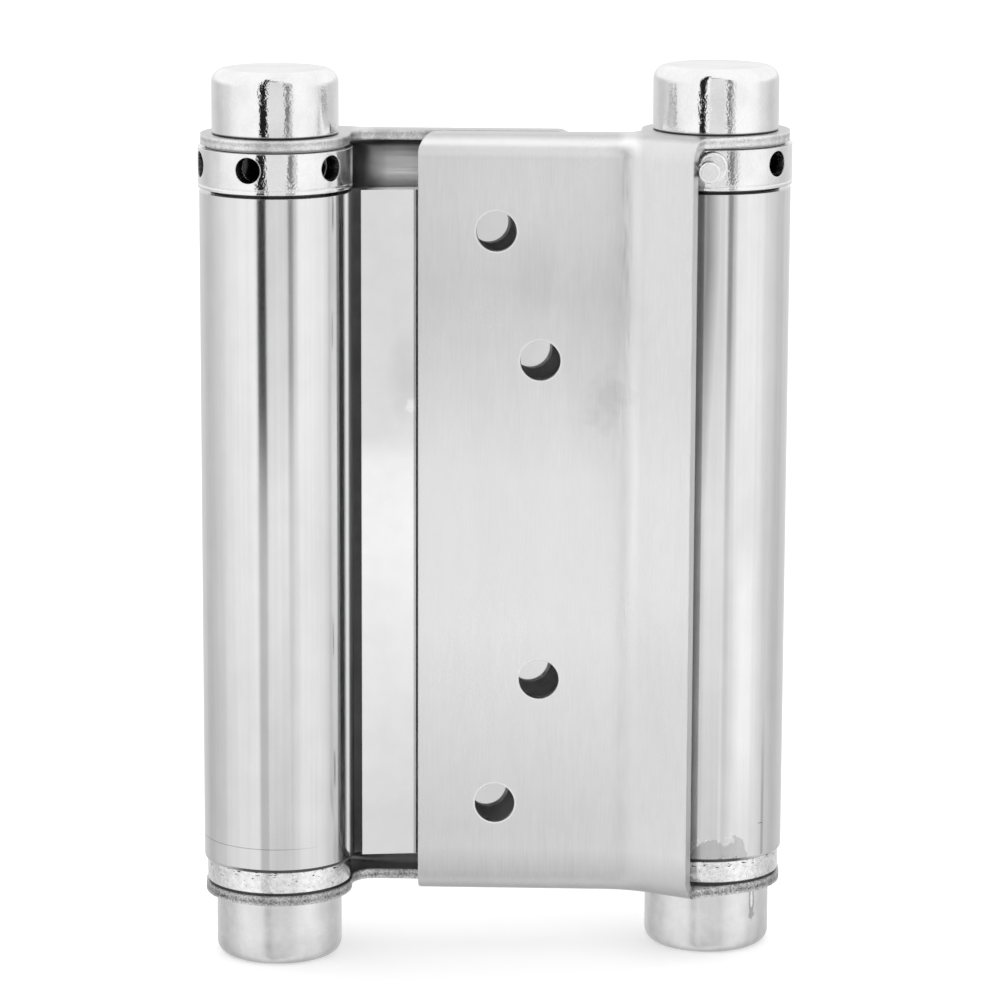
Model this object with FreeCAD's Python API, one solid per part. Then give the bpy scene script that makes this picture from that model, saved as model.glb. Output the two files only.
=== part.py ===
import FreeCAD, Part
import math
import os

# Double action spring hinge for a swinging cafe door, standing upright on its two bottom caps.
# The closed leaves lie along X, their outer faces look along -Y and +Y, and Z is up.
# Every right-hand piece is drawn about its own spindle axis, and the left-hand one is its half turn.

# Leaf sheet
LEAF_SHEET = 1.3
LEAF_REACH = 38.0        # spindle axis to the free edge
LEAF_OFFSET = 9.95       # spindle axis to the outer face
FOLD_RADIUS = 3.0        # outside of the folds along the top and bottom
LIP_DEPTH = 5.5          # outer face to the inner edge of the folded lip
CREASE_REACH = 10.8      # spindle axis to the crease where the leaf flares outward
CREASE_RADIUS = 12.0
FLARE_DEG = 27.5
EDGE_REACH = 2.25        # spindle axis to the inner corner of the flared edge
TOP_CORNER = 2.2
BOTTOM_CORNER = 0.8
EAR_RADIUS = 9.6
NECK_RADIUS = 3.0

# Screw holes
HOLE_RADIUS = 2.6
OUTER_ROW_REACH = 27.95
INNER_ROW_REACH = 22.25
OUTER_ROW_SPACING = 75.5
INNER_ROW_SPACING = 42.1

# Barrels and the web between them
AXIS_SPAN = 57.0
WEB_SLANT_DEG = 8.2
BARREL_SHEET = 1.2
BARREL_RADIUS = 9.8
BARREL_HEIGHT = 88.25
BARREL_CRIMP = 0.5
ROOT_RADIUS = 1.0        # inside of the bend between barrel and web
SEAM_DEG = 9.0
WEB_GAP = 1.08           # tail edge to the opposite barrel

# Turned pieces
SPINDLE_RADIUS = 3.0
TOP_CAP_RADIUS = 8.15
TOP_CAP_HEIGHT = 8.3
TOP_CAP_EDGE = 1.8
BOTTOM_CAP_RADIUS = 8.2
BOTTOM_CAP_HEIGHT = 8.6
BOTTOM_CAP_EDGE = 1.6
CAP_SEAT_EDGE = 0.3      # rounded edge where a cap meets its ear
CAP_WALL = 2.0           # solid end of a cap beyond the spindle
PLUG_RADIUS = 9.4
PLUG_BAND = 2.75
HUB_DEPTH = 7.0
COLLAR_RADIUS = 9.95
COLLAR_HEIGHT = 5.2
COLLAR_WALL = 2.5
COLLAR_CORE = 5.0
COLLAR_FLOOR = 1.2
COLLAR_GAP = 0.5         # below the collar
GROOVE_HEIGHT = 0.5      # above the collar's lower face
GROOVE_DEPTH = 0.15
WASHER_RADIUS = 9.0
WASHER_HEIGHT = 0.3

# Tommy bar holes round the collar, and the stop pin in the first of them
TOMMY_RADIUS = 1.67
TOMMY_STEPS_DEG = (0.0, 56.0, 111.5, 167.0, 233.5, 299.5)
TOMMY_DROP = 2.1         # below the collar's top face
STOP_PIN_DEG = 3.0       # from the -Y direction toward the leaf
PIN_SHANK_RADIUS = 1.55
PIN_SHOULDER_RADIUS = 2.05
PIN_SHOULDER_HEIGHT = 0.75
PIN_TIP_RADIUS = 1.35
PIN_TIP_EDGE = 0.3
PIN_REACH = 16.4

# Torsion spring
WIRE_RADIUS = 1.1
SPRING_RADIUS = 6.1
SPRING_PITCH = 4.6
TANG_DEPTH = 3.0

# Clearances
RUNNING_GAP = 0.05       # turning fits
SEAT_GAP = 0.05          # fixed fits and end faces
OPEN_GAP = 0.3           # curved faces that never meet

# Heights of the stack, from the floor up: the leaf is as tall as what stands between its ears
LEAF_BASE = BOTTOM_CAP_HEIGHT
LOWER_WASHER_BASE = LEAF_BASE + LEAF_SHEET
PLUG_BASE = LOWER_WASHER_BASE + WASHER_HEIGHT + SEAT_GAP
BARREL_BASE = PLUG_BASE + PLUG_BAND
BARREL_TOP = BARREL_BASE + BARREL_HEIGHT
COLLAR_BASE = BARREL_TOP + COLLAR_GAP
COLLAR_TOP = COLLAR_BASE + COLLAR_HEIGHT
UPPER_WASHER_BASE = COLLAR_TOP + SEAT_GAP
LEAF_TOP = UPPER_WASHER_BASE + WASHER_HEIGHT + LEAF_SHEET
LEAF_MIDDLE = (LEAF_BASE + LEAF_TOP) / 2
TOMMY_HEIGHT = COLLAR_TOP - TOMMY_DROP
BARREL_BORE = BARREL_RADIUS - BARREL_SHEET
HUB_TOP = BARREL_BASE + HUB_DEPTH
HUB_BOTTOM = COLLAR_BASE - HUB_DEPTH

# Where the right-hand spindle axis stands
AXIS_X = AXIS_SPAN / 2 * math.cos(math.radians(WEB_SLANT_DEG))
AXIS_Y = AXIS_SPAN / 2 * math.sin(math.radians(WEB_SLANT_DEG))

UP = FreeCAD.Vector(0, 0, 1)
CENTRE = FreeCAD.Vector(0, 0, 0)


def point(x, y, z=0.0):
    return FreeCAD.Vector(x, y, z)


def on_circle(radius, degrees, centre=CENTRE):
    turn = math.radians(degrees)
    return centre + point(radius * math.cos(turn), radius * math.sin(turn))


def line(start, end):
    return Part.makeLine(start, end)


def arc(centre, radius, start_degrees, end_degrees):
    middle = (start_degrees + end_degrees) / 2
    corners = [on_circle(radius, degrees, centre) for degrees in (start_degrees, middle, end_degrees)]
    return Part.Arc(*corners).toShape()


def outline(edges):
    return Part.Face(Part.Wire(edges))


def upright(face, z_low, z_high):
    face.translate(point(0, 0, z_low))
    return face.extrude(point(0, 0, z_high - z_low))


def cylinder(radius, z_low, z_high):
    return Part.makeCylinder(radius, z_high - z_low, point(0, 0, z_low), UP)


def ring(outer_radius, inner_radius, z_low, z_high):
    return cylinder(outer_radius, z_low, z_high).cut(cylinder(inner_radius, z_low, z_high))


def round_edge(solid, radius, height, edge_radius):
    picked = []
    for edge in solid.Edges:
        is_circle = isinstance(edge.Curve, Part.Circle)
        if is_circle and abs(edge.Curve.Radius - edge_radius) < 1e-6 and abs(edge.BoundBox.ZMax - height) < 1e-6:
            picked.append(edge)
    return solid.makeFillet(radius, picked)


# One leaf: a folded sheet with a flare beside the barrel and a round ear at each end
def folded_section():
    """Cross-section of the sheet: outer face at y = -LEAF_OFFSET, lips folded inward at both ends."""
    face_y = -LEAF_OFFSET
    inner_radius = FOLD_RADIUS - LEAF_SHEET
    low = LEAF_BASE
    high = LEAF_TOP
    x = -LEAF_REACH
    bend_y = face_y + FOLD_RADIUS
    lip_y = face_y + LIP_DEPTH
    slope = math.sqrt(0.5)

    def bent(radius, z_centre, way):
        start = point(x, bend_y, z_centre + way * radius)
        middle = point(x, bend_y - radius * slope, z_centre + way * radius * slope)
        end = point(x, bend_y - radius, z_centre)
        return Part.Arc(start, middle, end).toShape()

    low_centre = low + FOLD_RADIUS
    high_centre = high - FOLD_RADIUS
    edges = [
        line(point(x, lip_y, low), point(x, bend_y, low)),
        bent(FOLD_RADIUS, low_centre, -1),
        line(point(x, face_y, low_centre), point(x, face_y, high_centre)),
        bent(FOLD_RADIUS, high_centre, 1),
        line(point(x, bend_y, high), point(x, lip_y, high)),
        line(point(x, lip_y, high), point(x, lip_y, high - LEAF_SHEET)),
        line(point(x, lip_y, high - LEAF_SHEET), point(x, bend_y, high - LEAF_SHEET)),
        bent(inner_radius, high_centre, 1),
        line(point(x, face_y + LEAF_SHEET, high_centre), point(x, face_y + LEAF_SHEET, low_centre)),
        bent(inner_radius, low_centre, -1),
        line(point(x, bend_y, low + LEAF_SHEET), point(x, lip_y, low + LEAF_SHEET)),
        line(point(x, lip_y, low + LEAF_SHEET), point(x, lip_y, low)),
    ]
    return outline(Part.__sortEdges__(edges))


def leaf_plan():
    """Plan points of the flare that the ears and the section share."""
    flare = math.radians(FLARE_DEG)
    along = point(math.cos(flare), -math.sin(flare))
    inward = point(math.sin(flare), math.cos(flare))
    crease = point(-CREASE_REACH, -LEAF_OFFSET)
    edge_x = -EDGE_REACH - LEAF_SHEET * inward.x
    flare_length = (edge_x - crease.x) / along.x
    tangent = CREASE_RADIUS * math.tan(flare / 2)
    return {"along": along, "inward": inward, "crease": crease, "length": flare_length, "tangent": tangent}


def ear_outline():
    """Flat outline of one ear: a disc about the spindle, necked into the lip and run out to the flared edge."""
    plan = leaf_plan()
    lip_y = -LEAF_OFFSET + LIP_DEPTH
    bend_y = -LEAF_OFFSET + FOLD_RADIUS
    neck_y = lip_y + NECK_RADIUS
    neck_x = -math.sqrt((EAR_RADIUS + NECK_RADIUS) ** 2 - neck_y ** 2)
    neck_centre = point(neck_x, neck_y)
    neck_deg = math.degrees(math.atan2(neck_y, neck_x))
    lip_end = point(neck_x, lip_y)
    fold_end = point(neck_x, bend_y)
    edge_corner = plan["crease"] + plan["along"] * plan["length"] + plan["inward"] * FOLD_RADIUS
    crease_corner = plan["crease"] + point(0, FOLD_RADIUS)
    corner_deg = math.degrees(math.atan2(edge_corner.y, edge_corner.x))
    tangent_deg = corner_deg + math.degrees(math.acos(EAR_RADIUS / edge_corner.Length))
    edges = [
        arc(CENTRE, EAR_RADIUS, tangent_deg, neck_deg + 360),
        arc(neck_centre, NECK_RADIUS, neck_deg + 180, -90),
        line(lip_end, fold_end),
        line(fold_end, crease_corner),
        line(crease_corner, edge_corner),
        line(edge_corner, on_circle(EAR_RADIUS, tangent_deg)),
    ]
    return outline(edges)


def corner_waste(radius, z_corner, way):
    """What is trimmed off a free corner of the sheet to round it, right through the lip."""
    x = -LEAF_REACH
    y = -LEAF_OFFSET - 1.0
    centre = point(x + radius, y, z_corner - way * radius)
    slope = math.sqrt(0.5)
    start = point(x, y, z_corner - way * radius)
    middle = centre + point(-radius * slope, 0, way * radius * slope)
    end = point(x + radius, y, z_corner)
    corner = point(x, y, z_corner)
    face = outline([Part.Arc(start, middle, end).toShape(), line(end, corner), line(corner, start)])
    return face.extrude(point(0, LIP_DEPTH + 2.0, 0))


def make_leaf():
    plan = leaf_plan()
    section = folded_section()
    flat_length = LEAF_REACH - CREASE_REACH - plan["tangent"]
    flat = section.extrude(point(flat_length, 0, 0))
    turned = section.copy()
    turned.translate(point(flat_length, 0, 0))
    crease_axis = point(-CREASE_REACH - plan["tangent"], -LEAF_OFFSET - CREASE_RADIUS)
    crease = turned.revolve(crease_axis, UP, -FLARE_DEG)
    turned.rotate(crease_axis, UP, -FLARE_DEG)
    flare = turned.extrude(plan["along"] * (plan["length"] - plan["tangent"]))
    lower_ear = upright(ear_outline(), LEAF_BASE, LEAF_BASE + LEAF_SHEET)
    upper_ear = upright(ear_outline(), LEAF_TOP - LEAF_SHEET, LEAF_TOP)
    leaf = flat.fuse([crease, flare, lower_ear, upper_ear]).removeSplitter()
    waste = [
        corner_waste(TOP_CORNER, LEAF_TOP, 1),
        corner_waste(BOTTOM_CORNER, LEAF_BASE, -1),
        cylinder(SPINDLE_RADIUS + SEAT_GAP, LEAF_BASE, LEAF_TOP),
    ]
    for reach, spacing in ((OUTER_ROW_REACH, OUTER_ROW_SPACING), (INNER_ROW_REACH, INNER_ROW_SPACING)):
        for way in (-1, 1):
            mouth = point(-reach, -LEAF_OFFSET - 1.0, LEAF_MIDDLE + way * spacing / 2)
            waste.append(Part.makeCylinder(HOLE_RADIUS, LEAF_SHEET + 2.0, mouth, point(0, 1, 0)))
    return leaf.cut(waste)


# One barrel: a sheet rolled round into a tube, its flat tail making half of the web
def make_barrel():
    root_y = ROOT_RADIUS
    root_x = -math.sqrt((BARREL_RADIUS + ROOT_RADIUS) ** 2 - root_y ** 2)
    root = point(root_x, root_y)
    root_deg = math.degrees(math.atan2(root_y, root_x))
    seam_deg = 180 + SEAM_DEG - 360
    outer_bend = ROOT_RADIUS + BARREL_SHEET
    tail_x = -AXIS_SPAN + BARREL_RADIUS + WEB_GAP
    face = outline([
        line(point(tail_x, 0), point(root_x, 0)),
        arc(root, ROOT_RADIUS, -90, root_deg - 180),
        arc(CENTRE, BARREL_RADIUS, root_deg, seam_deg),
        line(on_circle(BARREL_RADIUS, seam_deg), on_circle(BARREL_BORE, seam_deg)),
        arc(CENTRE, BARREL_BORE, seam_deg, root_deg),
        arc(root, outer_bend, root_deg - 180, -90),
        line(point(root_x, -BARREL_SHEET), point(tail_x, -BARREL_SHEET)),
        line(point(tail_x, -BARREL_SHEET), point(tail_x, 0)),
    ])
    barrel = upright(face, BARREL_BASE, BARREL_TOP)
    barrel = barrel.cut(crimp_waste())
    barrel.rotate(CENTRE, UP, WEB_SLANT_DEG)
    return barrel


def crimp_waste():
    """What is missing from the barrel's lower outside edge, where the sheet end is rolled in."""
    slope = math.sqrt(0.5)
    centre = point(BARREL_RADIUS - BARREL_CRIMP, 0, BARREL_BASE + BARREL_CRIMP)
    start = centre + point(BARREL_CRIMP, 0, 0)
    middle = centre + point(BARREL_CRIMP * slope, 0, -BARREL_CRIMP * slope)
    end = centre + point(0, 0, -BARREL_CRIMP)
    below = end + point(0, 0, -1)
    outside = start + point(1, 0, 0)
    corner = point(outside.x, 0, below.z)
    edges = [Part.Arc(start, middle, end).toShape()]
    for first, second in ((end, below), (below, corner), (corner, outside), (outside, start)):
        edges.append(line(first, second))
    waste = outline(edges)
    waste.rotate(CENTRE, UP, -180 + SEAM_DEG)
    return waste.revolve(CENTRE, UP, 360 - 2.5 * SEAM_DEG)


# Turned pieces on one spindle
def make_spindle():
    return cylinder(SPINDLE_RADIUS, CAP_WALL, LEAF_TOP + TOP_CAP_HEIGHT - CAP_WALL)


def make_top_cap():
    body = cylinder(TOP_CAP_RADIUS, LEAF_TOP, LEAF_TOP + TOP_CAP_HEIGHT)
    body = round_edge(body, TOP_CAP_EDGE, LEAF_TOP + TOP_CAP_HEIGHT, TOP_CAP_RADIUS)
    body = round_edge(body, CAP_SEAT_EDGE, LEAF_TOP, TOP_CAP_RADIUS)
    socket = cylinder(SPINDLE_RADIUS + SEAT_GAP, LEAF_TOP, LEAF_TOP + TOP_CAP_HEIGHT - CAP_WALL)
    return body.cut(socket)


def make_bottom_cap():
    body = cylinder(BOTTOM_CAP_RADIUS, 0, BOTTOM_CAP_HEIGHT)
    body = round_edge(body, BOTTOM_CAP_EDGE, 0, BOTTOM_CAP_RADIUS)
    body = round_edge(body, CAP_SEAT_EDGE, BOTTOM_CAP_HEIGHT, BOTTOM_CAP_RADIUS)
    socket = cylinder(SPINDLE_RADIUS + SEAT_GAP, CAP_WALL, BOTTOM_CAP_HEIGHT)
    return body.cut(socket)


def tang_hole(z_low, z_high, degrees):
    hole = cylinder(WIRE_RADIUS + OPEN_GAP, z_low, z_high)
    hole.translate(on_circle(SPRING_RADIUS, degrees))
    return hole


def make_plug():
    band = cylinder(PLUG_RADIUS, PLUG_BASE, BARREL_BASE)
    hub = cylinder(BARREL_BORE - SEAT_GAP, BARREL_BASE, HUB_TOP)
    bore = cylinder(SPINDLE_RADIUS + RUNNING_GAP, PLUG_BASE, HUB_TOP)
    return band.fuse(hub).cut([bore, tang_hole(HUB_TOP - TANG_DEPTH - 1.0, HUB_TOP, 0.0)])


def tommy_direction(step_degrees):
    return on_circle(1.0, -90 - STOP_PIN_DEG + step_degrees)


def make_collar():
    band = cylinder(COLLAR_RADIUS, COLLAR_BASE, COLLAR_TOP)
    hub = cylinder(BARREL_BORE - OPEN_GAP, HUB_BOTTOM, COLLAR_BASE)
    groove_z = COLLAR_BASE + GROOVE_HEIGHT
    groove_face = Part.Face(Part.makePolygon([
        point(COLLAR_RADIUS, 0, groove_z - GROOVE_DEPTH),
        point(COLLAR_RADIUS, 0, groove_z + GROOVE_DEPTH),
        point(COLLAR_RADIUS - GROOVE_DEPTH, 0, groove_z),
        point(COLLAR_RADIUS, 0, groove_z - GROOVE_DEPTH),
    ]))
    waste = [
        cylinder(SPINDLE_RADIUS + RUNNING_GAP, HUB_BOTTOM, COLLAR_TOP),
        ring(COLLAR_RADIUS - COLLAR_WALL, COLLAR_CORE, COLLAR_BASE + COLLAR_FLOOR, COLLAR_TOP),
        groove_face.revolve(CENTRE, UP, 360),
        tang_hole(HUB_BOTTOM, HUB_BOTTOM + TANG_DEPTH + 1.0, spring_end_degrees()),
    ]
    for step in TOMMY_STEPS_DEG:
        way = tommy_direction(step)
        mouth = way * (COLLAR_CORE + OPEN_GAP) + point(0, 0, TOMMY_HEIGHT)
        waste.append(Part.makeCylinder(TOMMY_RADIUS, COLLAR_RADIUS, mouth, way))
    return band.fuse(hub).cut(waste)


def make_stop_pin():
    way = tommy_direction(0.0)
    height = point(0, 0, TOMMY_HEIGHT)
    shank_start = COLLAR_CORE + 2 * OPEN_GAP
    shoulder_start = COLLAR_RADIUS + SEAT_GAP
    shank = Part.makeCylinder(PIN_SHANK_RADIUS, shoulder_start - shank_start, way * shank_start + height, way)
    shoulder = Part.makeCylinder(PIN_SHOULDER_RADIUS, PIN_SHOULDER_HEIGHT, way * shoulder_start + height, way)
    shoulder = shoulder.makeFillet(PIN_SHOULDER_HEIGHT * 0.6, [outer_rim(shoulder, way)])
    tip = Part.makeCylinder(PIN_TIP_RADIUS, PIN_REACH - shoulder_start, way * shoulder_start + height, way)
    tip = tip.makeFillet(PIN_TIP_EDGE, [outer_rim(tip, way)])
    return shank.fuse([shoulder, tip]).removeSplitter()


def outer_rim(disc, way):
    circles = [edge for edge in disc.Edges if isinstance(edge.Curve, Part.Circle)]
    return max(circles, key=lambda edge: edge.CenterOfMass.dot(way))


def make_washer(z_low):
    return ring(WASHER_RADIUS, SPINDLE_RADIUS + SEAT_GAP, z_low, z_low + WASHER_HEIGHT)


# Torsion spring between the plug's hub and the collar's hub
def spring_length():
    return HUB_BOTTOM - HUB_TOP - 2 * (WIRE_RADIUS + OPEN_GAP)


def spring_end_degrees():
    return 360 * spring_length() / SPRING_PITCH


def make_spring():
    base = HUB_TOP + WIRE_RADIUS + OPEN_GAP
    helix = Part.makeLongHelix(SPRING_PITCH, spring_length(), SPRING_RADIUS)
    helix.translate(point(0, 0, base))
    slope = point(0, 2 * math.pi * SPRING_RADIUS, SPRING_PITCH)
    start = point(SPRING_RADIUS, 0, base)
    section = Part.Wire(Part.makeCircle(WIRE_RADIUS, start, slope))
    coil = Part.Wire(helix.Edges).makePipeShell([section], True, True)
    tang_length = TANG_DEPTH + WIRE_RADIUS + OPEN_GAP
    lower_tang = Part.makeCylinder(WIRE_RADIUS, tang_length, start, point(0, 0, -1))
    finish = on_circle(SPRING_RADIUS, spring_end_degrees()) + point(0, 0, base + spring_length())
    upper_tang = Part.makeCylinder(WIRE_RADIUS, tang_length, finish, UP)
    elbows = [Part.makeSphere(WIRE_RADIUS, start), Part.makeSphere(WIRE_RADIUS, finish)]
    return coil.fuse([lower_tang, upper_tang] + elbows)


def save(name, solid):
    solid.exportStep(os.path.join("parts", name + ".step"))


os.makedirs("parts", exist_ok=True)

pieces = {
    "barrel": make_barrel(),
    "plug": make_plug(),
    "spring": make_spring(),
    "spindle": make_spindle(),
    "collar": make_collar(),
    "stop_pin": make_stop_pin(),
    "top_cap": make_top_cap(),
    "bottom_cap": make_bottom_cap(),
    "upper_washer": make_washer(UPPER_WASHER_BASE),
    "lower_washer": make_washer(LOWER_WASHER_BASE),
}
names = {"leaf": ("front_leaf", "back_leaf")}
for piece in pieces:
    names[piece] = ("right_" + piece, "left_" + piece)
pieces["leaf"] = make_leaf()

for piece, solid in pieces.items():
    right_name, left_name = names[piece]
    solid.translate(point(AXIS_X, AXIS_Y))
    save(right_name, solid)
    solid.rotate(CENTRE, UP, 180)
    save(left_name, solid)
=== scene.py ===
import bpy
import math
from mathutils import Matrix, Vector


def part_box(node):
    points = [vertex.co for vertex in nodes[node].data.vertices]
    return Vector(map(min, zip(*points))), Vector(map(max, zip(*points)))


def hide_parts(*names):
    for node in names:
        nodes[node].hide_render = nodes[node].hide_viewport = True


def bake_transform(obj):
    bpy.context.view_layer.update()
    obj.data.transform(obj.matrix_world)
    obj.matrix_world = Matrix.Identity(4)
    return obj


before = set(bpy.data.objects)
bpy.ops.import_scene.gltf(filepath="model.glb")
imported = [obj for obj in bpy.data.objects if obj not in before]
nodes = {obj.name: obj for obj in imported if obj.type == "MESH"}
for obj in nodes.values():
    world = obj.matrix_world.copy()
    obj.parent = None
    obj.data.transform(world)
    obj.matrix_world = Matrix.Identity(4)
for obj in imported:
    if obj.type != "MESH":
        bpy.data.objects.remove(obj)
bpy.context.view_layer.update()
scene = bpy.context.scene

# Lengths are in metres, and mm() turns millimetres into them
MM = 0.001
SIDES = ("left", "right")


def mm(*lengths):
    """Millimetres as the scene's metres."""
    return tuple(length * MM for length in lengths)


def axis_of(node):
    """The upright axis of a turned node, as its point on the floor."""
    low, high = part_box(node)
    return Vector(((low.x + high.x) / 2, (low.y + high.y) / 2, 0))


# Sizes, taken from the frame where it has them
AXES = {side: axis_of(side + "_bottom_cap") for side in SIDES}
LEAF_LOW, LEAF_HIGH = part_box("front_leaf")
LEAF_MIDDLE = (LEAF_LOW.z + LEAF_HIGH.z) / 2
LEAF_SHEET = 1.3 * MM
BARREL_LOW, BARREL_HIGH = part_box("right_barrel")
BARREL_RADIUS = 9.8 * MM
BARREL_CRIMP = 0.5 * MM
COLLAR_RADIUS = 9.95 * MM
COLLAR_GAP = 0.5 * MM
COLLAR_BASE = BARREL_HIGH.z + COLLAR_GAP
HOLE_RADIUS = 2.6 * MM

# Rows of screw holes, as reach from the spindle axis and spacing
SCREW_ROWS = (mm(27.95, 75.5), mm(22.25, 42.1))
HOLES = [
    (AXES["right"].x - reach, LEAF_MIDDLE + share * spacing)
    for reach, spacing in SCREW_ROWS
    for share in (-0.5, 0.5)
]

# Camera, fitted to the photograph's outlines
IMAGE_PIXELS = 1001
SENSOR_MM = 36.0
FOCAL_PIXELS = 4645.0
CAMERA_PLACE = Vector((0.02219, -0.59496, 0.17876))
CAMERA_AZIMUTH = math.radians(2.07)
CAMERA_ELEVATION = math.radians(11.31)
CAMERA_ROLL = math.radians(0.215)
CAMERA_SHIFT_Y = 0.003


def make_camera():
    """A camera that looks slightly down on the hinge, rolled a little about its line of sight."""
    back = Vector((
        math.sin(CAMERA_AZIMUTH) * math.cos(CAMERA_ELEVATION),
        -math.cos(CAMERA_AZIMUTH) * math.cos(CAMERA_ELEVATION),
        math.sin(CAMERA_ELEVATION),
    ))
    level_right = Vector((0, 0, 1)).cross(back).normalized()
    level_up = back.cross(level_right)
    right = level_right * math.cos(CAMERA_ROLL) + level_up * math.sin(CAMERA_ROLL)
    up = back.cross(right)
    data = bpy.data.cameras.new("camera")
    data.sensor_width = SENSOR_MM
    data.lens = FOCAL_PIXELS * SENSOR_MM / IMAGE_PIXELS
    data.shift_y = CAMERA_SHIFT_Y
    camera = bpy.data.objects.new("camera", data)
    turn = Matrix((right, up, back)).transposed().to_4x4()
    camera.matrix_world = Matrix.Translation(CAMERA_PLACE) @ turn
    scene.collection.objects.link(camera)
    scene.camera = camera


def grey(level):
    """A plain grey."""
    return (level, level, level, 1)


# Node helpers
EVEN = (1.0, 1.0, 1.0)
ANY_DEPTH = (1.0, 1e6, 1.0)
ANY_HEIGHT = (1.0, 1.0, 1e6)
WIDE = (0.3, 0.7)       # most of a noise's values
NARROW = (0.35, 0.65)   # the middle of them
BEVEL_SAMPLES = 3
EDGE_HIGHLIGHT_SPAN = (0.98, 0.90)
TEAR_DETAIL = 3


class Graph:
    """A node tree, with short ways to add the nodes that the finishes and the studio share."""

    def __init__(self, tree, coordinates):
        self.tree = tree
        self.place = self.add("ShaderNodeTexCoord").outputs[coordinates]

    def add(self, kind, **settings):
        """A new node with its settings."""
        node = self.tree.nodes.new(kind)
        for key, value in settings.items():
            setattr(node, key, value)
        return node

    def join(self, source, target):
        """Links an output to an input."""
        self.tree.links.new(source, target)

    def put(self, socket, value):
        """Joins an output to a socket, or sets the socket's own value."""
        if isinstance(value, bpy.types.NodeSocket):
            self.join(value, socket)
        else:
            socket.default_value = value

    def feed(self, node, inputs):
        """Puts values into a node's inputs by name."""
        for name, value in inputs.items():
            self.put(node.inputs[name], value)

    def split(self, vector, letter):
        """One of a vector's three parts."""
        node = self.add("ShaderNodeSeparateXYZ")
        self.join(vector, node.inputs["Vector"])
        return node.outputs[letter]

    def axis(self, letter):
        """The place along X, Y or Z."""
        return self.split(self.place, letter)

    def noise(self, scale, detail=2.0, stretch=EVEN):
        """A cloudy value; a small stretch draws it out along that axis."""
        mapping = self.add("ShaderNodeMapping")
        self.feed(mapping, {"Vector": self.place, "Scale": stretch})
        node = self.add("ShaderNodeTexNoise")
        self.feed(node, {"Vector": mapping.outputs["Vector"], "Scale": scale, "Detail": detail})
        return node.outputs["Fac"]

    def ramp(self, source, low, high, low_value=0.0, high_value=1.0, kind="LINEAR"):
        """The source from low to high led onto other values, which hold past both ends."""
        node = self.add("ShaderNodeMapRange", interpolation_type=kind)
        self.feed(node, {"Value": source, "From Min": low, "From Max": high})
        self.feed(node, {"To Min": low_value, "To Max": high_value})
        return node.outputs["Result"]

    def vary(self, noise, low_value, high_value, spread=WIDE):
        """A noise led onto values from low to high."""
        return self.ramp(noise, *spread, low_value, high_value)

    def math(self, operation, *values):
        """One step of arithmetic."""
        node = self.add("ShaderNodeMath", operation=operation)
        for socket, value in zip(node.inputs, values):
            self.put(socket, value)
        return node.outputs["Value"]

    def chain(self, operation, values):
        """All the values joined by one operation."""
        result = values[0]
        for value in values[1:]:
            result = self.math(operation, result, value)
        return result

    def total(self, *values):
        """The values added up."""
        return self.chain("ADD", values)

    def product(self, *values):
        """The values multiplied."""
        return self.chain("MULTIPLY", values)

    def rest(self, mask):
        """What the mask leaves of one."""
        return self.math("SUBTRACT", 1.0, mask)

    def size(self, value):
        """The value without its sign."""
        return self.math("ABSOLUTE", value)

    def lift(self, level, mask, amount):
        """The level raised or lowered by an amount where the mask is one."""
        return self.math("MULTIPLY_ADD", mask, amount, level)

    def marked(self, level, marks):
        """The level with every mark on it, each a mask and its amount."""
        for mask, amount in marks:
            level = self.lift(level, mask, amount)
        return level

    def stops(self, source, levels_by_value):
        """A grey led smoothly through the levels that are given at some values of the source."""
        low = levels_by_value[0][0]
        high = levels_by_value[-1][0]
        node = self.add("ShaderNodeValToRGB")
        elements = node.color_ramp.elements
        node.color_ramp.interpolation = "EASE"
        while len(elements) < len(levels_by_value):
            elements.new(0.5)
        for element, (value, level) in zip(elements, levels_by_value):
            element.position = (value - low) / (high - low)
            element.color = grey(level)
        self.join(self.ramp(source, low, high), node.inputs["Fac"])
        return node.outputs["Color"]

    def band(self, source, low, high, fade):
        """One between two values of the source, with faded ends."""
        rise = self.ramp(source, low - fade, low)
        fall = self.ramp(source, high + fade, high)
        return self.product(rise, fall)

    def distance(self, centre, reach):
        """Distance from a point, with one at its own reach along X, Y and Z."""
        mapping = self.add("ShaderNodeMapping", vector_type="TEXTURE")
        self.feed(mapping, {"Vector": self.place, "Location": centre, "Scale": reach})
        length = self.add("ShaderNodeVectorMath", operation="LENGTH")
        self.join(mapping.outputs["Vector"], length.inputs[0])
        return length.outputs["Value"]

    def torn_distance(self, centre, reach, tear_scale, tear):
        """The same with a ragged outline."""
        ragged = self.vary(self.noise(tear_scale, TEAR_DETAIL), -tear, tear)
        return self.total(self.distance(centre, reach), ragged)

    def reach_from(self, side):
        """Distance from one spindle axis."""
        return self.distance(AXES[side], ANY_HEIGHT)


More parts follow.
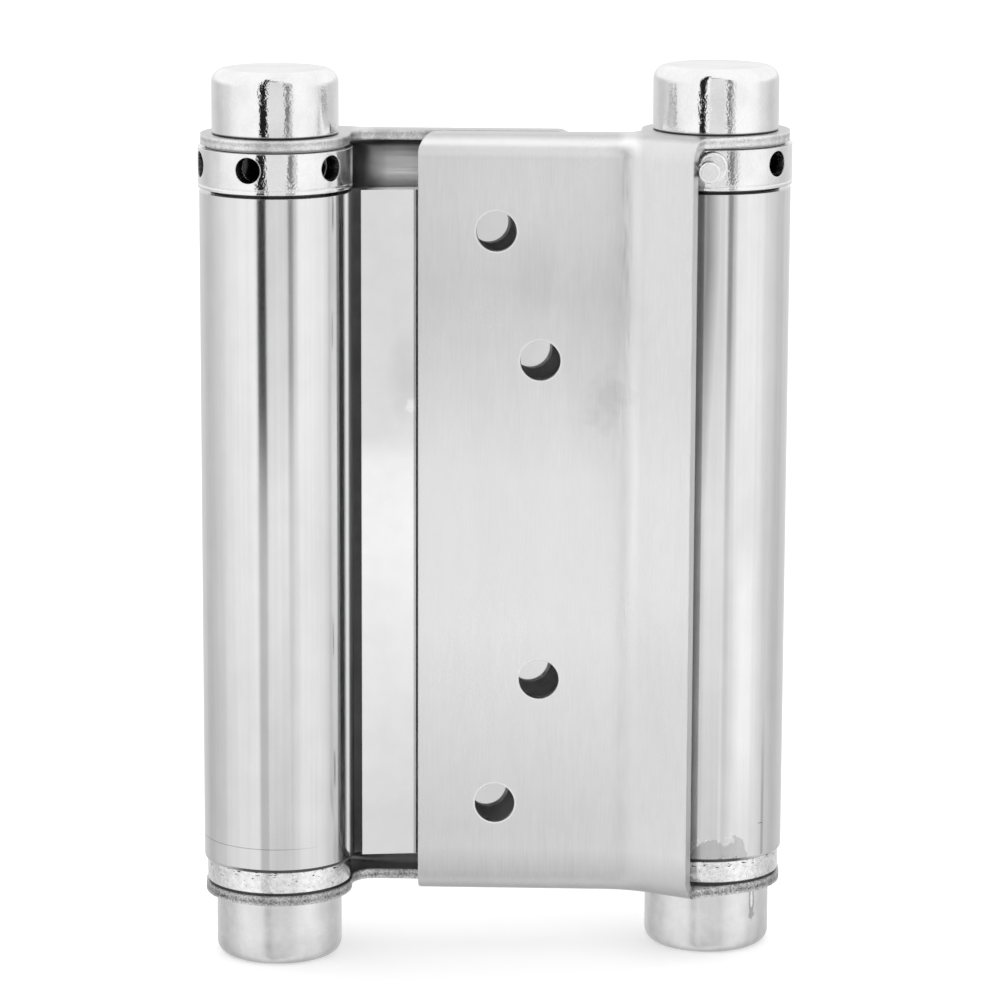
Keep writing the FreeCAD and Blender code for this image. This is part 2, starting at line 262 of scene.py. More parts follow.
class Recipe(Graph):
    """One material, made up of a grey level, a roughness and a normal."""

    def __init__(self, name, half_turn=False):
        self.material = bpy.data.materials.new(name)
        self.material.use_nodes = True
        super().__init__(self.material.node_tree, "Object")
        self.shader = self.tree.nodes["Principled BSDF"]
        if half_turn:
            turn = self.add("ShaderNodeMapping")
            self.feed(turn, {"Vector": self.place, "Rotation": (0, 0, math.pi)})
            self.place = turn.outputs["Vector"]

    def tint(self, factor, low, high):
        """A grey between two levels."""
        node = self.add("ShaderNodeMix", data_type="RGBA")
        self.feed(node, {"Factor": factor, "A": grey(low), "B": grey(high)})
        return node.outputs["Result"]

    def bump(self, height, depth, normal=None):
        """The normal of a surface that rises and sinks by a depth."""
        node = self.add("ShaderNodeBump")
        self.feed(node, {"Strength": 1.0, "Distance": depth, "Height": height})
        if normal:
            self.join(normal, node.inputs["Normal"])
        return node.outputs["Normal"]

    def soft_edges(self, radius):
        """The normal with every edge rounded."""
        node = self.add("ShaderNodeBevel", samples=BEVEL_SAMPLES)
        self.feed(node, {"Radius": radius})
        return node.outputs["Normal"]

    def edge_highlight(self, soft_normal):
        """One along the rounded edges and nothing on the faces, for painted highlights."""
        geometry = self.add("ShaderNodeNewGeometry")
        dot = self.add("ShaderNodeVectorMath", operation="DOT_PRODUCT")
        self.join(soft_normal, dot.inputs[0])
        self.join(geometry.outputs["Normal"], dot.inputs[1])
        return self.ramp(dot.outputs["Value"], *EDGE_HIGHLIGHT_SPAN)

    def finish(self, level, roughness, normal, metallic=1.0):
        """Sets the shader and gives the material."""
        self.feed(self.shader, {"Base Color": self.tint(level, 0.0, 1.0), "Metallic": metallic})
        self.feed(self.shader, {"Roughness": roughness, "Normal": normal})
        return self.material


# Leaves: the outer face is brushed, and its marks are placed as on the front leaf, across and up
FAR = 1000              # mm, so that a mark reaches through the sheet
# Ring of painted highlight round each screw hole, as inner radius, outer radius and fade
HOLE_RIM = (HOLE_RADIUS + 0.04 * MM, HOLE_RADIUS + 0.18 * MM, 0.06 * MM)


def leaf_painted_light(recipe, across, height):
    """Painted sheen, highlights and shade on a leaf's outer face, by its folds, crease and hole rims, and a
    paler patch.
    """
    flat = recipe.ramp(across, *mm(19, 17))
    flare = recipe.ramp(across, *mm(17, 19))
    from_crease = recipe.ramp(across, *mm(16, 17))
    # Painted highlight round each screw hole
    rims = [recipe.band(recipe.distance((x, 0, z), ANY_DEPTH), *HOLE_RIM) for x, z in HOLES]
    # Painted sheen across the middle of the flat and of the flare
    painted_sheen = recipe.product(flat, recipe.band(height, *mm(44, 64, 26)))
    painted_flare_sheen = recipe.product(from_crease, recipe.band(height, *mm(50, 64, 12)))
    # Painted sheen higher up, painted highlight on the crest of the top fold, and painted shade at its edge
    upper = recipe.product(flat, recipe.ramp(height, *mm(88, 100)))
    crest = recipe.product(flat, recipe.band(height, *mm(106.3, 107.5, 0.6)))
    upper_edge = recipe.product(flat, recipe.ramp(height, *mm(107.7, 108.5)))
    # Painted shade on the turned top and foot and on the low flare
    turned_top = recipe.ramp(height, *mm(108, 108.5))
    turned_foot = recipe.ramp(height, *mm(14.8, 10.3))
    low_flare = recipe.product(flare, recipe.ramp(height, *mm(50, 20)))
    pale = recipe.ramp(recipe.distance(mm(-7, 0, 58), mm(7, FAR, 22)), 1.0, 0.2)
    # Painted highlight along the crease
    crease = recipe.product(recipe.band(across, *mm(16.8, 17.8, 1.2)), recipe.ramp(height, *mm(45, 75)))
    return (
        (painted_sheen, 0.18), (painted_flare_sheen, 0.06), (upper, 0.075), (crest, 0.11), (upper_edge, -0.07),
        (turned_top, -0.20), (turned_foot, -0.20), (low_flare, -0.04), (pale, 0.03), (crease, 0.16),
        (recipe.total(*rims), 0.3),
    )


def leaf_wear_marks(recipe):
    """Where a leaf's outer face is dulled, smudged or scratched."""
    dull_side = recipe.torn_distance(mm(14, 0, 84), mm(5, FAR, 18), 120, 0.25)
    dull_patch = recipe.torn_distance(mm(5.2, 0, 91), mm(3, FAR, 5), 200, 0.25)
    smudge = recipe.torn_distance(mm(14.6, 0, 74.5), mm(3, FAR, 3.5), 400, 0.4)
    scratched = recipe.ramp(recipe.distance(mm(-0.9, 0, 86), mm(4.5, FAR, 4)), 1.0, 0.4)
    scratches = recipe.ramp(recipe.noise(3200, 3), 0.56, 0.68)
    return (
        (recipe.ramp(dull_side, 1.2, 0.4), -0.06),
        (recipe.ramp(dull_patch, 1.2, 0.5), -0.05),
        (recipe.ramp(smudge, 1.1, 0.4), -0.10),
        (recipe.product(scratched, scratches), 0.07),
    )


def brushed_leaf(node, half_turn):
    """Satin stainless sheet, brushed along its height, with painted edge highlights and the marks above."""
    recipe = Recipe(node + "_brushed", half_turn)
    fine = recipe.noise(5200, 3, (1.0, 1.0, 0.05))
    broad = recipe.noise(420, 3, (1.0, 1.0, 0.1))
    mottle = recipe.noise(900, 3, (1.0, 1.0, 0.4))
    cloud = recipe.noise(55, 3, (1.0, 1.0, 0.6))
    soft = recipe.soft_edges(0.28 * MM)
    level = recipe.total(
        recipe.vary(fine, -0.025, 0.025),
        recipe.vary(broad, -0.01, 0.01),
        recipe.vary(mottle, -0.012, 0.012),
        recipe.vary(cloud, 0.77, 0.81, NARROW),
    )
    level = recipe.marked(level, leaf_painted_light(recipe, recipe.axis("X"), recipe.axis("Z")))
    level = recipe.marked(level, leaf_wear_marks(recipe))
    # Painted highlight along the leaf's rounded edges
    level = recipe.lift(level, recipe.edge_highlight(soft), 0.2)
    roughness = recipe.total(recipe.vary(fine, 0.28, 0.38), recipe.vary(cloud, -0.03, 0.04, NARROW))
    return recipe.finish(level, roughness, recipe.bump(fine, 1.2e-6, soft))


MILL_PLAIN = 0.78
# Level of the painted shade by the turned leaf's ear
MILL_BY_EAR = 0.26
# Painted light and shade under the turned leaf's lip, as levels by height: lighter below it, dark right under
# it
UNDER_LIP_LEVELS = (
    (98 * MM, MILL_PLAIN), (100 * MM, 0.9), (102 * MM, 1.0),
    (104 * MM, 0.62), (106 * MM, 0.24), (108 * MM, 0.15),
)


def mill_inside(node, half_turn):
    """Inner side of a leaf, with rolling lines; the turned leaf's has painted light and shade under its lip,
    painted shade by its ear.
    """
    recipe = Recipe(node + "_mill_inside", half_turn)
    rolled = recipe.noise(2600, 2, (0.03, 1.0, 1.0))
    cloud = recipe.noise(160, 2)
    level = recipe.vary(cloud, MILL_PLAIN - 0.06, MILL_PLAIN + 0.06)
    if half_turn:
        # Painted light and shade near the bend under the lip, and painted shade by the ear
        across = recipe.axis("X")
        near_bend = recipe.ramp(across, *mm(7, 9.5))
        near_ear = recipe.ramp(across, *mm(14.5, 17.5))
        under_lip = recipe.stops(recipe.axis("Z"), UNDER_LIP_LEVELS)
        level = recipe.lift(level, near_bend, recipe.math("SUBTRACT", under_lip, MILL_PLAIN))
        level = recipe.lift(level, near_ear, recipe.math("SUBTRACT", MILL_BY_EAR, level))
    return recipe.finish(level, recipe.vary(rolled, 0.30, 0.42), recipe.bump(rolled, 1e-6))


# Painted highlight and shade across a rim's thickness, by distance from the leaf's end
RIM_LEVELS = ((0.0, 0.84), (0.5 * MM, 0.46), (1.0 * MM, 0.64), (LEAF_SHEET, 0.52))
UPPER_HALF = mm(50, 60)


def sheared_rim():
    """Punched rim of an ear or lip: sandy and nicked, with a painted highlight on its outer edge and painted
    shade in the middle, painted lighter on the upper rims and darker on the lower ones.
    """
    recipe = Recipe("sheared_rim")
    grain = recipe.noise(4200, 4)
    drag = recipe.noise(900, 3)
    height = recipe.axis("Z")
    from_high = recipe.size(recipe.math("SUBTRACT", height, LEAF_HIGH.z))
    from_low = recipe.size(recipe.math("SUBTRACT", height, LEAF_LOW.z))
    from_edge = recipe.math("MINIMUM", from_high, from_low)
    sand = recipe.ramp(grain, 0.38, 0.62, -0.18, 0.18)
    level = recipe.total(
        recipe.stops(from_edge, RIM_LEVELS),
        recipe.vary(drag, -0.10, 0.12),
        recipe.product(sand, recipe.ramp(height, *UPPER_HALF, 1.0, 0.5)),
        # Painted light on the upper rims, painted shade on the lower ones
        recipe.ramp(height, *UPPER_HALF, -0.15, 0.18),
    )
    normal = recipe.bump(grain, 2.4e-5, recipe.soft_edges(0.45 * MM))
    return recipe.finish(level, recipe.vary(grain, 0.32, 0.42), normal)


def punched_wall():
    """Wall of a screw hole: drawn by the punch through the sheet, with painted light on its sides and painted
    shade at its top and bottom.
    """
    recipe = Recipe("punched_wall")
    drawn = recipe.noise(2200, 2, (1.0, 0.08, 1.0))
    facing = recipe.add("ShaderNodeTexCoord").outputs["Normal"]
    sideways = recipe.size(recipe.split(facing, "X"))
    # Painted light where the wall faces sideways, painted shade where it faces up or down
    level = recipe.total(recipe.ramp(sideways, 0.2, 0.9, 0.04, 0.2), recipe.vary(drawn, -0.08, 0.08, NARROW))
    return recipe.finish(level, recipe.vary(drawn, 0.40, 0.52), recipe.bump(drawn, 1.5e-5))


def cut_strip():
    """Upright cut edge of a leaf, with painted shade toward the bottom, where it meets the gap by the barrel.
    """
    recipe = Recipe("cut_strip")
    drag = recipe.noise(2600, 2, (1.0, 1.0, 0.05))
    # Painted shade toward the bottom of the strip
    low_shade = recipe.ramp(recipe.axis("Z"), *mm(12, 45), 0.58, 0.74)
    level = recipe.total(low_shade, recipe.vary(drag, -0.05, 0.05))
    normal = recipe.bump(drag, 2e-6, recipe.soft_edges(0.3 * MM))
    return recipe.finish(level, recipe.vary(drag, 0.30, 0.40), normal)


# Barrels and web
BARREL_EDGE = 0.12 * MM
# Roughness where a crevice is painted dark
CREVICE_ROUGHNESS = 0.4
SCUFF_ROUGHNESS = 0.22


def right_barrel_marks(recipe, across, height):
    """The scuff at the foot of the right barrel, and all its marks, with painted shade by the leaf, a painted
    highlight and a painted dark reflection line.
    """
    specks = recipe.noise(2600, 2)
    low_scuff = recipe.torn_distance(mm(28.4, -5.6, 13.6), mm(2.9, 3, 2.3), 420, 0.3)
    high_scuff = recipe.torn_distance(mm(31.8, -5.2, 13.6), mm(1.7, 3, 3), 420, 0.3)
    torn = recipe.math("MINIMUM", low_scuff, high_scuff)
    scuff = recipe.ramp(torn, 1.0, 0.93)
    flecks = recipe.product(
        recipe.band(torn, 0.92, 1.1, 0.08),
        recipe.ramp(specks, 0.58, 0.64),
        recipe.ramp(across, *mm(31.6, 30.6)),
    )
    chips = recipe.product(
        recipe.ramp(height, *mm(14.2, 13.2)),
        recipe.ramp(specks, 0.40, 0.36),
        recipe.band(across, *mm(28.5, 33, 1)),
    )
    # Painted shade on the barrel beside the leaf's edge, wider toward the top
    shade_reach = recipe.ramp(height, *mm(60, 92), *mm(27.4, 28.9))
    shade = recipe.product(
        recipe.ramp(recipe.math("SUBTRACT", shade_reach, across), *mm(0, 1.6)),
        recipe.ramp(across, *mm(25.6, 26.8), 0.45, 1.0),
    )
    # Painted highlight on the barrel's front
    painted_sheen = recipe.product(recipe.band(across, *mm(32.2, 33.4, 1)), recipe.band(height, *mm(28, 48, 10)))
    # Painted dark reflection line
    line = recipe.product(recipe.band(across, *mm(35.28, 35.42, 0.2)), recipe.ramp(height, *mm(34, 22)))
    tick = recipe.ramp(recipe.distance(mm(35.1, -2.9, 17.8), mm(0.4, 1, 0.09)), 1.0, 0.6)
    return scuff, (
        (scuff, -0.15), (flecks, 0.22), (chips, -0.5), (shade, -0.5),
        (painted_sheen, 0.12), (line, -0.24), (tick, -0.35),
    )


def left_barrel_marks(recipe, across, height):
    """The crevice by the web on the left barrel, with painted shade in it, and all its marks."""
    scribed = recipe.product(recipe.band(height, *mm(16.22, 16.28, 0.05)), recipe.ramp(across, *mm(-22, -28)))
    # Painted shade in the crevice where the barrel meets the web
    crevice = recipe.ramp(recipe.math("SUBTRACT", across, AXES["left"].x), *mm(9.4, 9.6))
    return crevice, ((scribed, -0.3), (crevice, -0.69))


def polished_barrel(side):
    """Stainless sheet drawn bright, with faint upright lines, painted shade toward its foot, and the few
    marks of its own side.
    """
    recipe = Recipe(side + "_barrel_polished")
    fine = recipe.noise(1500, 3, (1.0, 1.0, 0.01))
    cloud = recipe.noise(60, 2, (1.0, 1.0, 0.4))
    mottle = recipe.noise(420, 3, (1.0, 1.0, 0.5))
    across = recipe.axis("X")
    height = recipe.axis("Z")
    level = recipe.total(
        recipe.vary(cloud, -0.02, 0.02, NARROW),
        recipe.vary(fine, -0.02, 0.02, NARROW),
        recipe.vary(mottle, -0.015, 0.015, NARROW),
        # Painted shade, darker toward the foot
        recipe.ramp(height, *mm(12, 70), 0.73, 0.82),
    )
    roughness = recipe.vary(cloud, 0.10, 0.15)
    metallic = 1.0
    if side == "right":
        scuff, marks = right_barrel_marks(recipe, across, height)
        roughness = recipe.lift(roughness, scuff, SCUFF_ROUGHNESS)
    else:
        crevice, marks = left_barrel_marks(recipe, across, height)
        roughness = recipe.lift(roughness, crevice, CREVICE_ROUGHNESS)
        metallic = recipe.rest(crevice)
    level = recipe.marked(level, marks)
    normal = recipe.bump(fine, 3e-6, recipe.soft_edges(BARREL_EDGE))
    return recipe.finish(level, roughness, normal, metallic)


def bright_web(side):
    """The flat of the same sheet: with painted shade in the root of its bend and behind the leaves, a darker
    patch, dinged once.
    """
    recipe = Recipe(side + "_web_polished")
    fine = recipe.noise(2600, 3, (1.0, 1.0, 0.02))
    cloud = recipe.noise(90, 3, (1.0, 1.0, 0.3))
    stain = recipe.noise(300, 3)
    # Painted shade in the root of the bend
    bend_root_shade = recipe.ramp(recipe.reach_from(side), BARREL_RADIUS + 2.6 * MM, BARREL_RADIUS + 2.0 * MM)
    # Painted shade where the web lies behind the leaves
    behind = recipe.ramp(recipe.size(recipe.axis("X")), *mm(10, 6))
    dinged = recipe.torn_distance(mm(-10.8, -1.5, 73), mm(1.2, 2, 1.4), 900, 0.3)
    # A darker patch
    darker_patch = recipe.distance(mm(-12, -1.6, 77), mm(4, 2, 9))
    level = recipe.total(recipe.vary(cloud, 0.85, 0.92), recipe.vary(stain, -0.015, 0.015, NARROW))
    level = recipe.marked(level, (
        (behind, -0.1),
        (recipe.ramp(darker_patch, 1.0, 0.5), -0.13),
        (recipe.ramp(dinged, 1.0, 0.4), 0.25),
        (bend_root_shade, -0.785),
    ))
    roughness = recipe.lift(recipe.vary(cloud, 0.03, 0.06), bend_root_shade, CREVICE_ROUGHNESS)
    normal = recipe.bump(fine, 2e-7, recipe.soft_edges(BARREL_EDGE))
    return recipe.finish(level, roughness, normal, recipe.rest(bend_root_shade))


def crimped_edge():
    """Lower edge of a barrel: dark, and lighter toward the outside."""
    recipe = Recipe("crimped_edge")
    fine = recipe.noise(2400, 3)
    # Lighter toward the outer sides of the barrels
    lighter_outside = recipe.ramp(recipe.size(recipe.axis("X")), *mm(32, 34.5), 0.10, 0.7)
    level = recipe.total(lighter_outside, recipe.vary(fine, -0.02, 0.02))
    return recipe.finish(level, recipe.vary(fine, 0.35, 0.45), recipe.bump(fine, 2e-6))


# Turned pieces
def pitted_chrome():
    """Bright plate over a pitted casting, with a few stains and a painted shade line where a cap meets its
    ear.
    """
    recipe = Recipe("bright_chrome")
    peel = recipe.noise(3100, 2)
    patch = recipe.ramp(recipe.noise(190, 1), 0.38, 0.60, 0.3, 1.0)
    stain = recipe.noise(260, 3)
    # Painted shade in a thin line where a cap meets its ear
    cap_foot_shade = recipe.band(recipe.axis("Z"), LEAF_HIGH.z, LEAF_HIGH.z + 0.2 * MM, 0.1 * MM)
    level = recipe.total(recipe.ramp(stain, 0.40, 0.62, 0.95, 0.88), recipe.vary(peel, -0.02, 0.02))
    level = recipe.lift(level, cap_foot_shade, -0.75)
    normal = recipe.bump(recipe.product(peel, patch), 2.6e-5, recipe.soft_edges(0.2 * MM))
    return recipe.finish(level, recipe.vary(peel, 0.02, 0.06), normal)


def chipped_plate():
    """Plate on the plug's band: mottled, and chipped along its upper edge."""
    recipe = Recipe("chipped_plate")
    peel = recipe.noise(2600, 3)
    mottle = recipe.noise(1500, 4)
    flakes = recipe.noise(2400, 2, (0.5, 0.5, 1.6))
    near_edge = recipe.ramp(recipe.axis("Z"), BARREL_LOW.z - 0.9 * MM, BARREL_LOW.z)
    chips = recipe.ramp(recipe.lift(flakes, near_edge, -0.11), 0.32, 0.28)
    level = recipe.total(recipe.vary(mottle, 0.74, 1.0), recipe.vary(peel, -0.06, 0.06))
    level = recipe.lift(level, chips, -0.75)
    normal = recipe.bump(peel, 3.5e-5, recipe.soft_edges(0.12 * MM))
    return recipe.finish(level, recipe.vary(peel, 0.08, 0.16), normal)


def satin_cap():
    """Satin plated steel, watermarked and darker toward its foot; the right one carries a drawn-out dent."""
    recipe = Recipe("satin_cap")
    fine = recipe.noise(5000, 2, (1.0, 1.0, 0.2))
    broad = recipe.noise(260, 3, (1.0, 1.0, 0.12))
    watermark = recipe.noise(480, 4)
    groove = recipe.torn_distance(mm(34.2, -1.55, 6.9), mm(0.36, 0.6, 2.6), 1500, 0.15)
    groove_end = recipe.torn_distance(mm(34.15, -1.55, 4.8), mm(0.6, 0.8, 0.5), 1500, 0.3)
    dent = recipe.math("MAXIMUM", recipe.band(groove, 0.6, 0.95, 0.2), recipe.ramp(groove_end, 1.0, 0.7))
    shine = recipe.ramp(groove, 0.5, 0.3)
    level = recipe.total(
        recipe.vary(broad, -0.04, 0.04),
        recipe.vary(watermark, -0.045, 0.045, NARROW),
        # Darker toward the foot
        recipe.ramp(recipe.axis("Z"), *mm(0.5, 4), 0.66, 0.79),
    )
    level = recipe.marked(level, ((dent, -0.3), (shine, 0.2)))
    satin = recipe.bump(fine, 3e-7, recipe.soft_edges(0.1 * MM))
    return recipe.finish(level, recipe.vary(watermark, 0.20, 0.30), recipe.bump(dent, -3e-5, satin))


def collar_bore(side):
    """Inside of a collar: plated at its holes' mouths, dark further in, with a burr where they end."""
    recipe = Recipe(side + "_collar_bore")
    fine = recipe.noise(2400, 3)
    reach = recipe.reach_from(side)
    mouth = recipe.ramp(reach, COLLAR_RADIUS - 1.3 * MM, COLLAR_RADIUS - 0.3 * MM, 0.06, 0.8)
    burr = recipe.band(reach, *mm(7.52, 7.7, 0.04))
    level = recipe.lift(mouth, burr, 0.9)
    metallic = recipe.ramp(burr, 0.0, 1.0, 1.0, 0.2)
    normal = recipe.bump(fine, 2e-6, recipe.soft_edges(0.25 * MM))
    return recipe.finish(level, recipe.vary(fine, 0.2, 0.3), normal, metallic)


def plain_steel(name, brightest, smoothest):
    """Bare steel, a little uneven in its grey and its roughness."""
    recipe = Recipe(name)
    fine = recipe.noise(2400, 3)
    level = recipe.ramp(fine, 0.0, 1.0, brightest * 0.85, brightest)
    return recipe.finish(level, recipe.vary(fine, smoothest, smoothest + 0.1), recipe.bump(fine, 2e-6))


# Which face takes which of its node's materials
RIM_SLOT, END_SLOT, HOLE_SLOT, INSIDE_SLOT = range(1, 5)
WEB_SLOT, CRIMP_SLOT = range(1, 3)
BORE_SLOT = 1
SIDEWAYS = 0.3          # a normal's part along an axis that the face hardly looks along
ENDWAYS = 0.8           # and along one that it mostly looks along
FLAT_TOP = 0.9
HOLE_ZONE = mm(-8, 16)
ABOVE_FOLDS = 5 * MM
PLATE_REACH = 0.3 * MM
SLACK = 0.1 * MM


def give(node, *materials):
    """Fills a node's material slots."""
    slots = nodes[node].data.materials
    slots.clear()
    for material in materials:
        slots.append(material)


def sort_leaf_faces(node, outward):
    """Rims, cut edges, hole walls and the inner side get their own slots; outward is the outer face's Y."""
    for face in nodes[node].data.polygons:
        from_end = min(face.center.z - LEAF_LOW.z, LEAF_HIGH.z - face.center.z)
        in_zone = HOLE_ZONE[0] < -outward * face.center.x < HOLE_ZONE[1]
        is_upright = abs(face.normal.z) < SIDEWAYS
        if abs(face.normal.y) < SIDEWAYS and from_end > ABOVE_FOLDS and in_zone:
            face.material_index = HOLE_SLOT
        elif is_upright and from_end < LEAF_SHEET:
            face.material_index = RIM_SLOT
        elif is_upright and abs(face.normal.x) > ENDWAYS:
            face.material_index = END_SLOT
        elif face.normal.y * outward < -SIDEWAYS:
            face.material_index = INSIDE_SLOT


def reach_from_axis(place, side):
    """How far a place lies from one spindle axis."""
    return math.hypot(place.x - AXES[side].x, place.y - AXES[side].y)


def sort_barrel_faces(side):
    """The web, with the bend at its root, and the crimped lower edge get their own slots."""
    for face in nodes[side + "_barrel"].data.polygons:
        if reach_from_axis(face.center, side) > BARREL_RADIUS + SLACK:
            face.material_index = WEB_SLOT
        elif face.center.z < BARREL_LOW.z + BARREL_CRIMP:
            face.material_index = CRIMP_SLOT


def sort_collar_faces(side):
    """The holes, the underside of the band and the hub, where no plate reaches, get their own slot."""
    for face in nodes[side + "_collar"].data.polygons:
        is_deep = reach_from_axis(face.center, side) < COLLAR_RADIUS - PLATE_REACH
        is_inner = is_deep and abs(face.normal.z) < FLAT_TOP
        if is_inner or face.center.z < COLLAR_BASE - SLACK:
            face.material_index = BORE_SLOT


def dress_frame():
    """Every node gets its finishes."""
    leaf_edges = (sheared_rim(), cut_strip(), punched_wall())
    for node, outward in (("front_leaf", -1), ("back_leaf", 1)):
        half_turn = outward > 0
        give(node, brushed_leaf(node, half_turn), *leaf_edges, mill_inside(node, half_turn))
        sort_leaf_faces(node, outward)
    bright = pitted_chrome()
    crimped = crimped_edge()
    finishes = {
        "stop_pin": bright,
        "top_cap": bright,
        "bottom_cap": satin_cap(),
        "plug": chipped_plate(),
        "spindle": plain_steel("drawn_rod", 0.4, 0.25),
        "upper_washer": plain_steel("upper_washer_steel", 0.4, 0.35),
        # The lower washer's steel is painted darker than the upper's, as painted shade in the gap between
        # plug and ear
        "lower_washer": plain_steel("lower_washer_shaded_steel", 0.12, 0.35),
    }
    for side in SIDES:
        for piece, material in finishes.items():
            give(side + "_" + piece, material)
        give(side + "_barrel", polished_barrel(side), bright_web(side), crimped)
        give(side + "_collar", bright, collar_bore(side))
        sort_barrel_faces(side)
        sort_collar_faces(side)


# Springs, each wound in two lengths that meet at mid height
WIRE_RADIUS = 1.1 * MM
WIRE_SIDES = 16
SPRING_RADIUS = 6.1 * MM
SPRING_PITCH = 4.6 * MM
STEPS_PER_TURN = 40
TANG_LENGTH = 4.4 * MM
ELBOW_LEG = 2.2 * MM
ELBOW_STEPS = 8
FIRST_TURN = {"left": math.pi, "right": 0.0}


def new_object(name, corners, faces, material):
    """A mesh object in the scene, with one material."""
    mesh = bpy.data.meshes.new(name)
    mesh.from_pydata(corners, [], faces)
    mesh.materials.append(material)
    item = bpy.data.objects.new(name, mesh)
    scene.collection.objects.link(item)
    return item


def upright(length):
    """A step straight up."""
    return Vector((0, 0, length))


def elbow(start, corner, finish):
    """A rounded bend of the wire."""
    shares = [step / ELBOW_STEPS for step in range(ELBOW_STEPS + 1)]
    return [start.lerp(corner, share).lerp(corner.lerp(finish, share), share) for share in shares]


def spring_path(side):
    """Centre line of the wire, from the tang in the plug to the tang in the collar."""
    low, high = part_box(side + "_spring")
    base = low.z + TANG_LENGTH
    top = high.z - TANG_LENGTH

    def coil(height):
        """Where the coil passes a height."""
        angle = FIRST_TURN[side] + math.tau * (height - base) / SPRING_PITCH
        return AXES[side] + Vector((SPRING_RADIUS * math.cos(angle), SPRING_RADIUS * math.sin(angle), height))

    elbow_rise = ELBOW_LEG * SPRING_PITCH / (math.tau * SPRING_RADIUS)
    leg = upright(ELBOW_LEG)
    tang = upright(TANG_LENGTH)
    steps = round((top - base) / SPRING_PITCH * STEPS_PER_TURN)
    rise = (top - base - 2 * elbow_rise) / steps
    return [
        coil(base) - tang,
        *elbow(coil(base) - leg, coil(base), coil(base + elbow_rise)),
        *[coil(base + elbow_rise + rise * step) for step in range(1, steps)],
        *elbow(coil(top - elbow_rise), coil(top), coil(top) + leg),
        coil(top) + tang,
    ]


def wire(name, path, centre, material):
    """Round wire along a path about an upright axis."""
    corners = []
    for index, place in enumerate(path):
        along = (path[min(index + 1, len(path) - 1)] - path[max(index - 1, 0)]).normalized()
        across = along.cross(place - centre - upright(place.z)).normalized()
        outward = across.cross(along)
        for side in range(WIRE_SIDES):
            angle = math.tau * side / WIRE_SIDES
            corners.append(place + WIRE_RADIUS * (outward * math.cos(angle) + across * math.sin(angle)))
    faces = [tuple(reversed(range(WIRE_SIDES))), tuple(range(len(corners) - WIRE_SIDES, len(corners)))]
    for ring in range(0, len(corners) - WIRE_SIDES, WIRE_SIDES):
        for side in range(WIRE_SIDES):
            next_side = (side + 1) % WIRE_SIDES
            above = ring + WIRE_SIDES
            faces.append((ring + side, ring + next_side, above + next_side, above + side))
    item = new_object(name, corners, faces, material)
    for face in item.data.polygons:
        face.use_smooth = len(face.vertices) == 4
    return item


def wind_springs():
    """Each spring is wound as a lower and an upper length, and the frame's own spring is hidden."""
    material = plain_steel("spring_wire", 0.3, 0.35)
    for side in SIDES:
        axis = AXES[side]
        path = spring_path(side)
        middle = len(path) // 2
        lower = wire(side + "_spring_lower", path[:middle + 1], axis, material)
        upper = wire(side + "_spring_upper", path[middle:], axis, material)
        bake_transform(lower)
        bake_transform(upper)
        for piece in (lower, upper):
            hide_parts(side + "_spring")


# Studio: a pale floor, a white surround, and what the bright metal sees of the camera side
FLOOR_HALF = 3.0
FLOOR_GLOW = 0.3
WALL_LEVELS = ((-1.0, 1.0), (-0.5, 1.0), (-0.26, 0.95), (0.06, 0.78), (0.5, 0.63), (0.86, 0.72), (1.0, 0.80))
CAMERA_SIDE_LEVELS = (
    (-0.155, 0.78), (-0.13, 0.84), (-0.105, 0.91), (-0.076, 1.0), (-0.056, 1.0), (-0.046, 0.82), (0.0, 0.77),
)

# Upright panels before the object, as X span, Y, Z span, and the glow's levels by height
REFLECTED_PANELS = {
    "camera_side": ((-0.112, 0.214), -0.62, (-1.0, 0.9), CAMERA_SIDE_LEVELS),
    "dark_bar": ((-0.14, 0.10), -0.61, (0.86, 0.98), ((0.86, 0.03), (0.98, 0.03))),
    "dark_stand": ((-0.167, -0.082), -0.33, (-1.0, 1.0), ((-0.01, 0.62), (0.02, 0.015))),
    "grey_stand": ((0.41, 0.585), -1.05, (-1.0, 1.0), ((-0.16, 0.8), (-0.11, 0.22))),
    "grey_flag": ((0.585, 0.74), -1.05, (-1.0, 1.0), ((-0.16, 0.9), (-0.11, 0.62))),
}


def panel(name, corners, material):
    """A flat panel that belongs to the studio."""
    item = new_object(name, corners, [tuple(range(len(corners)))], material)
    return item


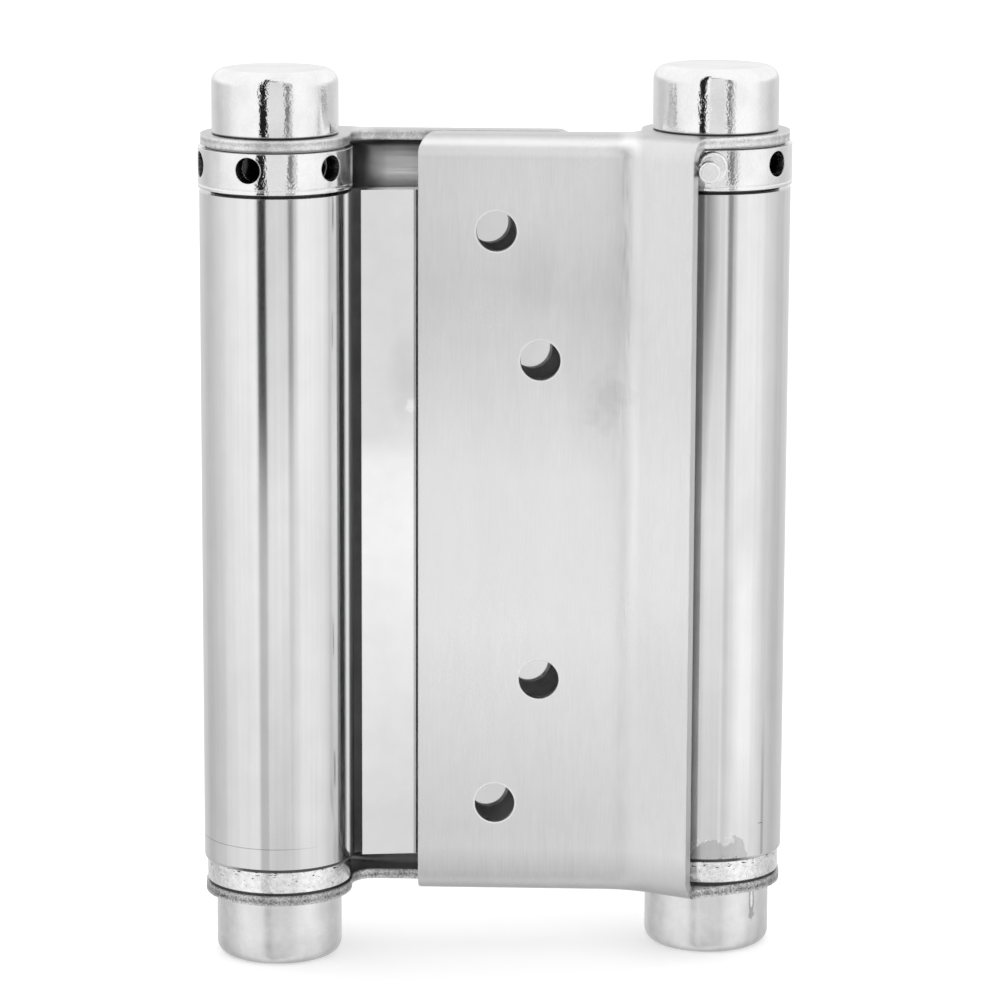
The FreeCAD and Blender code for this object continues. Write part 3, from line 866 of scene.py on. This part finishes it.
def fading_glow(name, levels_by_height):
    """A glow whose grey changes with height."""
    recipe = Recipe(name)
    recipe.tree.nodes.remove(recipe.shader)
    emission = recipe.add("ShaderNodeEmission")
    recipe.feed(emission, {"Color": recipe.stops(recipe.axis("Z"), levels_by_height)})
    recipe.join(emission.outputs["Emission"], recipe.tree.nodes["Material Output"].inputs["Surface"])
    return recipe.material


def make_reflected_panels():
    """Panels that only show in reflections."""
    for name, ((left, right), y, (low, high), levels_by_height) in REFLECTED_PANELS.items():
        corners = [(left, y, low), (right, y, low), (right, y, high), (left, y, high)]
        item = panel(name, corners, fading_glow(name, levels_by_height))
        item.visible_camera = False
        item.visible_diffuse = False
        item.visible_shadow = False
        item.visible_transmission = False


def make_floor():
    """A pale floor that keeps the object's shadow."""
    recipe = Recipe("pale_floor")
    seen = recipe.add("ShaderNodeLightPath").outputs["Is Camera Ray"]
    recipe.feed(recipe.shader, {
        "Base Color": recipe.tint(recipe.noise(3, 2), 0.93, 0.95),
        "Roughness": 0.9,
        "Specular IOR Level": 0.1,
        "Emission Color": grey(1.0),
        "Emission Strength": recipe.product(seen, FLOOR_GLOW),
    })
    half = FLOOR_HALF
    corners = [(-half, -half, 0), (half, -half, 0), (half, half, 0), (-half, half, 0)]
    floor = panel("floor", corners, recipe.material)
    floor.visible_glossy = False


def make_world():
    """White for the camera and from above, and a wall round the object that is greyer behind it."""
    world = bpy.data.worlds.new("studio")
    scene.world = world
    world.use_nodes = True
    world.node_tree.nodes.clear()
    graph = Graph(world.node_tree, "Generated")
    left_wall = graph.ramp(graph.axis("X"), -1.0, -0.5, 0.93, 1.0)
    wall = graph.product(graph.stops(graph.axis("Y"), WALL_LEVELS), left_wall)
    height = graph.ramp(graph.axis("Z"), -0.05, 0.25, kind="SMOOTHSTEP")
    seen = graph.add("ShaderNodeLightPath").outputs["Is Camera Ray"]
    whiteness = graph.math("MAXIMUM", height, seen)
    background = graph.add("ShaderNodeBackground")
    graph.feed(background, {"Color": graph.lift(wall, whiteness, graph.rest(wall)), "Strength": 1.0})
    output = graph.add("ShaderNodeOutputWorld")
    graph.join(background.outputs["Background"], output.inputs["Surface"])


make_camera()
dress_frame()
wind_springs()
make_floor()
make_world()
make_reflected_panels()
scene.view_settings.view_transform = "Standard"
